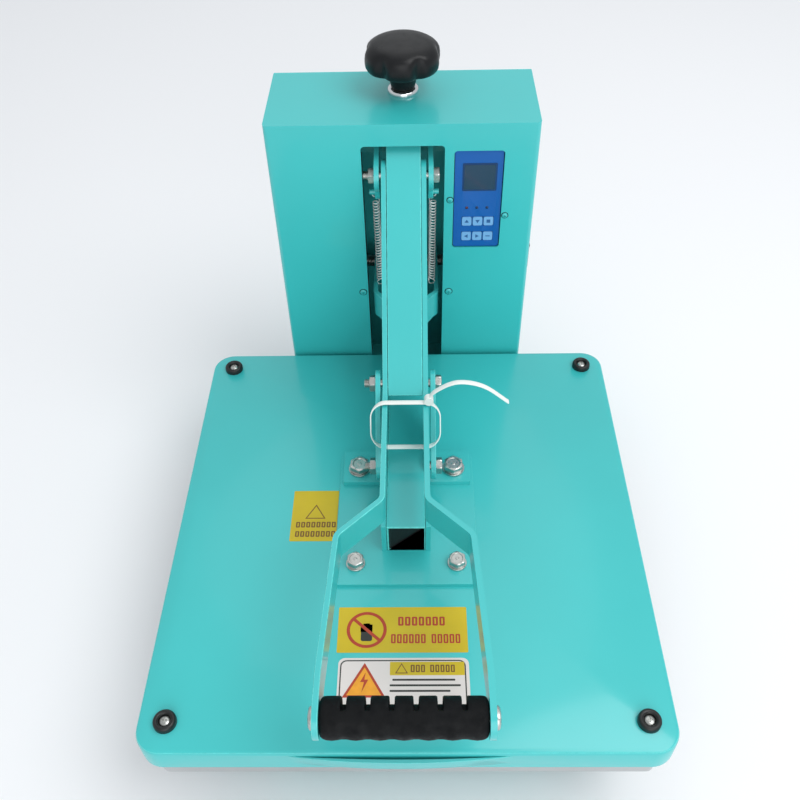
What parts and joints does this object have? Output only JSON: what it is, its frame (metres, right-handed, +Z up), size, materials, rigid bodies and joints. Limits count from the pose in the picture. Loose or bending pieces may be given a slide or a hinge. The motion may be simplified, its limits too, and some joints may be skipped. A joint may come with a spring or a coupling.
{
  "type": "heat press",
  "caption": "Clamshell heat press with a square heated head on a swing arm, an over-centre lever with a rubber grip, a pressure knob and a controller panel.",
  "frame": {"origin": "centre of the bounding box footprint, on the table under the rubber feet", "axes": "+Z up, -Y towards the operator and the grip, +X to the right; the press is closed and locked"},
  "size_m": [0.4, 0.5472, 0.425],
  "materials": {
    "teal_paint": "glossy powder coat",
    "zinc_steel": "zinc plated",
    "bright_steel": "polished",
    "frame_steel": "grey primer",
    "aluminium": "milled",
    "silicone": "matt silicone foam",
    "insulation": "pressed mineral wool",
    "black_rubber": "matt",
    "black_plastic": "satin",
    "blue_panel": "satin",
    "screen": "glossy",
    "key_film": "satin",
    "nylon": "natural nylon"
  },
  "bodies": {
    "base": {"base_frame": "teal_paint", "foot_front_left": "black_rubber", "foot_front_right": "black_rubber", "foot_rear_left": "black_rubber", "foot_rear_right": "black_rubber", "lower_platen": "aluminium", "silicone_pad": "silicone", "case_shell": "teal_paint", "rear_panel": "teal_paint", "upright_left": "frame_steel", "upright_right": "frame_steel", "top_bridge": "frame_steel", "screw_bushing": "bright_steel", "main_pivot_bolt": "zinc_steel", "relay": "black_plastic", "power_inlet": "black_plastic", "switch_bezel": "black_plastic", "controller_body": "blue_panel", "lcd_window": "screen", "spring_left": "zinc_steel", "spring_right": "zinc_steel"},
    "adjuster": {"adjuster_clevis": "teal_paint", "adjuster_pivot_bolt": "zinc_steel"},
    "knob": {"pressure_knob": "black_plastic", "pressure_screw": "zinc_steel"},
    "handle": {"lever_tube": "teal_paint", "lever_plate_left": "teal_paint", "lever_plate_right": "teal_paint", "grip_rod": "zinc_steel", "handle_grip": "black_rubber", "cable_tie": "nylon"},
    "links": {"link_left": "teal_paint", "link_right": "teal_paint", "link_top_bolt_left": "zinc_steel", "link_top_bolt_right": "zinc_steel"},
    "platen_arm": {"arm_tube": "teal_paint", "arm_end_cap": "black_plastic", "yoke_left": "teal_paint", "yoke_right": "teal_paint", "mount_plate": "teal_paint", "link_arm_bolt_left": "zinc_steel", "link_arm_bolt_right": "zinc_steel", "cover": "teal_paint", "insulation": "insulation", "heating_platen": "aluminium", "head_bolt_rear_left": "zinc_steel", "head_bolt_rear_right": "zinc_steel", "head_bolt_front_left": "zinc_steel", "head_bolt_front_right": "zinc_steel", "grommet_front_left": "black_rubber", "grommet_front_right": "black_rubber", "grommet_rear_left": "black_rubber", "grommet_rear_right": "black_rubber"},
    "rocker": {"power_rocker": "black_plastic"},
    "key_1_cap": {"key_1": "key_film"},
    "key_2_cap": {"key_2": "key_film"},
    "key_3_cap": {"key_3": "key_film"},
    "key_4_cap": {"key_4": "key_film"},
    "key_5_cap": {"key_5": "key_film"},
    "key_6_cap": {"key_6": "key_film"}
  },
  "joints": [
    {"name": "platen_open", "type": "hinge", "parent": "base", "child": "platen_arm", "pos_m": [0, 0.2466, 0.182], "axis": [-1, 0, 0], "range_deg": [0, 43], "deforming": ["spring_left", "spring_right"]},
    {"name": "handle_swing", "type": "hinge", "parent": "adjuster", "child": "handle", "pos_m": [0, 0.1766, 0.328], "axis": [-1, 0, 0], "range_deg": [0, 68.23]},
    {"name": "link_swing", "type": "hinge", "parent": "platen_arm", "child": "links", "pos_m": [0, -0.0114, 0.1525], "axis": [1, 0, 0], "range_deg": [0, 116.22]},
    {"name": "knob_turn", "type": "hinge", "parent": "base", "child": "knob", "pos_m": [0, 0.2326, 0.401], "axis": [0, 0, 1], "range_deg": [-361, 1441]},
    {"name": "adjuster_slide", "type": "slide", "parent": "base", "child": "adjuster", "axis": [0, 0, 1], "range_m": [-0.002, 0.008]},
    {"name": "rocker_press", "type": "hinge", "parent": "base", "child": "rocker", "pos_m": [0.1145, 0.1986, 0.23], "axis": [0, 1, 0], "range_deg": [-12, 0]},
    {"name": "key_1_press", "type": "slide", "parent": "base", "child": "key_1_cap", "axis": [0, 1, 0], "range_m": [0, 0.0005], "stiffness_N_per_m": 400},
    {"name": "key_2_press", "type": "slide", "parent": "base", "child": "key_2_cap", "axis": [0, 1, 0], "range_m": [0, 0.0005], "stiffness_N_per_m": 400},
    {"name": "key_3_press", "type": "slide", "parent": "base", "child": "key_3_cap", "axis": [0, 1, 0], "range_m": [0, 0.0005], "stiffness_N_per_m": 400},
    {"name": "key_4_press", "type": "slide", "parent": "base", "child": "key_4_cap", "axis": [0, 1, 0], "range_m": [0, 0.0005], "stiffness_N_per_m": 400},
    {"name": "key_5_press", "type": "slide", "parent": "base", "child": "key_5_cap", "axis": [0, 1, 0], "range_m": [0, 0.0005], "stiffness_N_per_m": 400},
    {"name": "key_6_press", "type": "slide", "parent": "base", "child": "key_6_cap", "axis": [0, 1, 0], "range_m": [0, 0.0005], "stiffness_N_per_m": 400}
  ],
  "couplings": [
    {"joint": "handle_swing", "follows": "platen_open", "ratio": 1.5844},
    {"joint": "link_swing", "follows": "platen_open", "ratio": 2.7005},
    {"joint": "knob_turn", "follows": "adjuster_slide", "rad_per_m": 3141.6}
  ]
}
